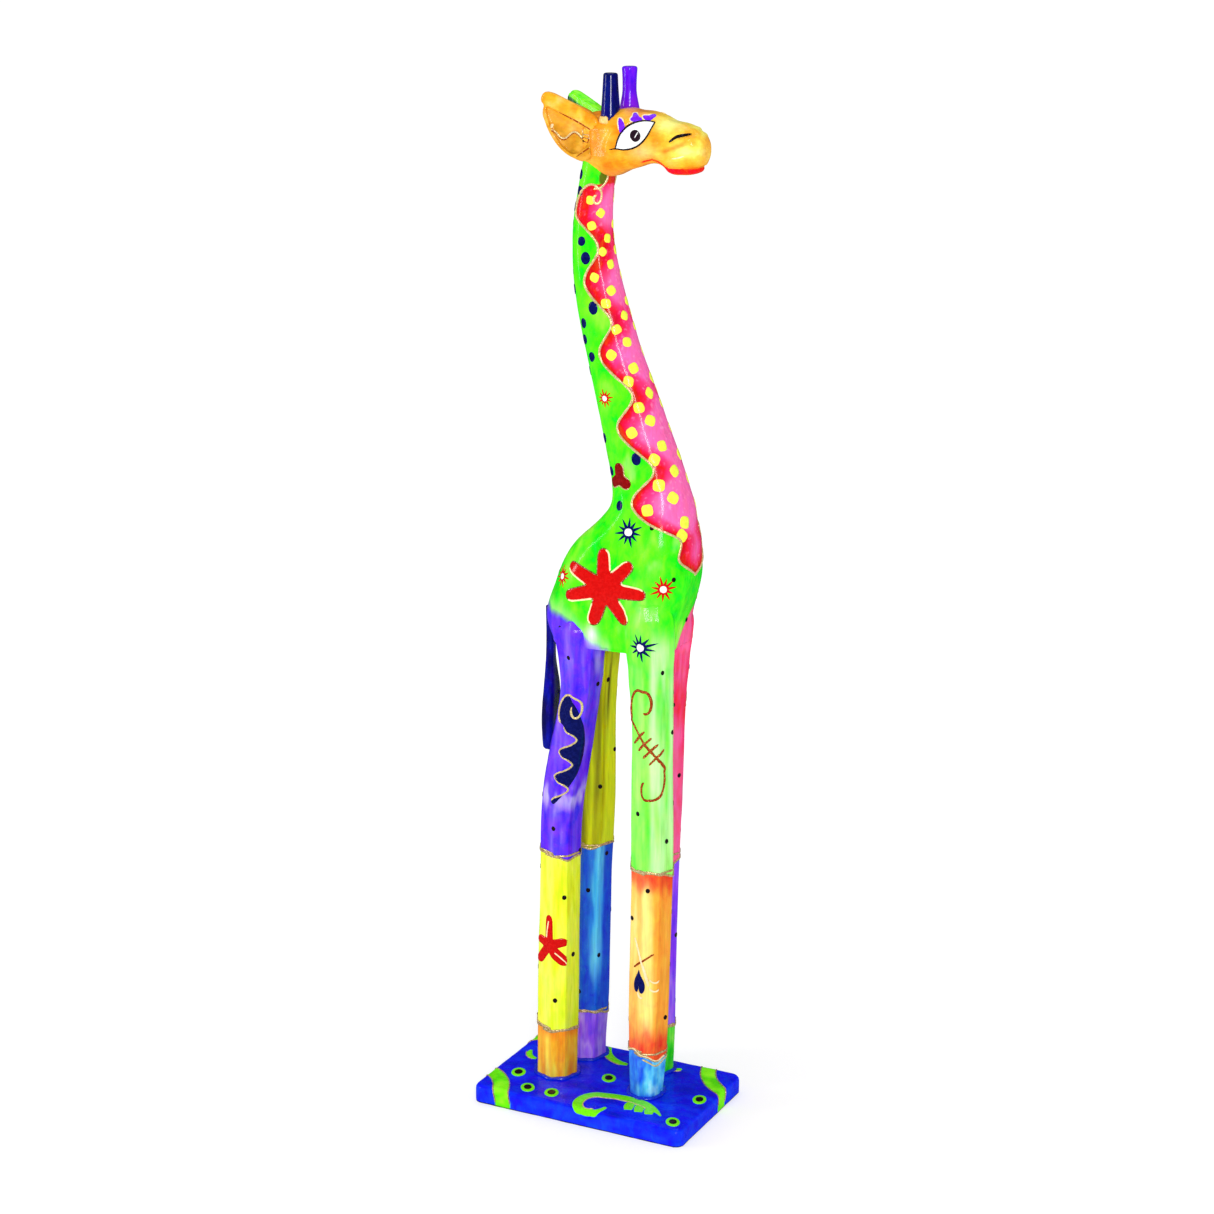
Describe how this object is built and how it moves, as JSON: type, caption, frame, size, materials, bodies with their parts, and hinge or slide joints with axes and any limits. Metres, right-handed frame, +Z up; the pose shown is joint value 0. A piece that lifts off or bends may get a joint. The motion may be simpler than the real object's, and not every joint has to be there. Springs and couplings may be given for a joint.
{
  "type": "carved giraffe statue",
  "caption": "Tall slim hand-carved wooden giraffe standing on a rectangular board, for display on a floor, shelf or table.",
  "frame": {"origin": "middle of the board's underside, on the surface that the statue stands on", "axes": "+X the way the giraffe faces, +Y its left side, +Z up"},
  "size_m": [0.222, 0.14, 0.998],
  "materials": {
    "board_paint": "gloss paint",
    "leg_front_right_paint": "satin painted, varnished",
    "leg_front_left_paint": "satin painted, varnished",
    "leg_rear_right_paint": "satin painted, varnished",
    "leg_rear_left_paint": "satin painted, varnished",
    "body_paint": "satin painted, varnished",
    "head_paint": "satin painted, varnished",
    "ear_paint": "satin painted, varnished",
    "navy_paint": "gloss paint",
    "purple_paint": "gloss paint",
    "red_paint": "gloss paint",
    "yellow_paint": "gloss paint",
    "lime_paint": "gloss paint",
    "black_paint": "gloss paint",
    "white_paint": "gloss paint",
    "gold_paint": "metallic relief paint",
    "bare_wood": "unfinished",
    "screw_steel": "zinc plated"
  },
  "bodies": {
    "root": {"base_board": "board_paint", "body_and_neck": "body_paint", "head": "head_paint", "ear_right": "ear_paint", "ear_left": "ear_paint", "horn_right": "navy_paint", "horn_left": "purple_paint", "tail": "navy_paint", "leg_front_right": "leg_front_right_paint", "leg_front_left": "leg_front_left_paint", "leg_rear_right": "leg_rear_right_paint", "leg_rear_left": "leg_rear_left_paint", "leg_dowel_front_right": "bare_wood", "leg_dowel_front_left": "bare_wood", "leg_dowel_rear_right": "bare_wood", "leg_dowel_rear_left": "bare_wood", "foot_screw_front_right": "screw_steel", "foot_screw_front_left": "screw_steel", "foot_screw_rear_right": "screw_steel", "foot_screw_rear_left": "screw_steel", "neck_dowel": "bare_wood", "tail_peg": "bare_wood", "horn_dowel_right": "bare_wood", "ear_dowel_right": "bare_wood", "horn_dowel_left": "bare_wood", "ear_dowel_left": "bare_wood"}
  },
  "joints": []
}
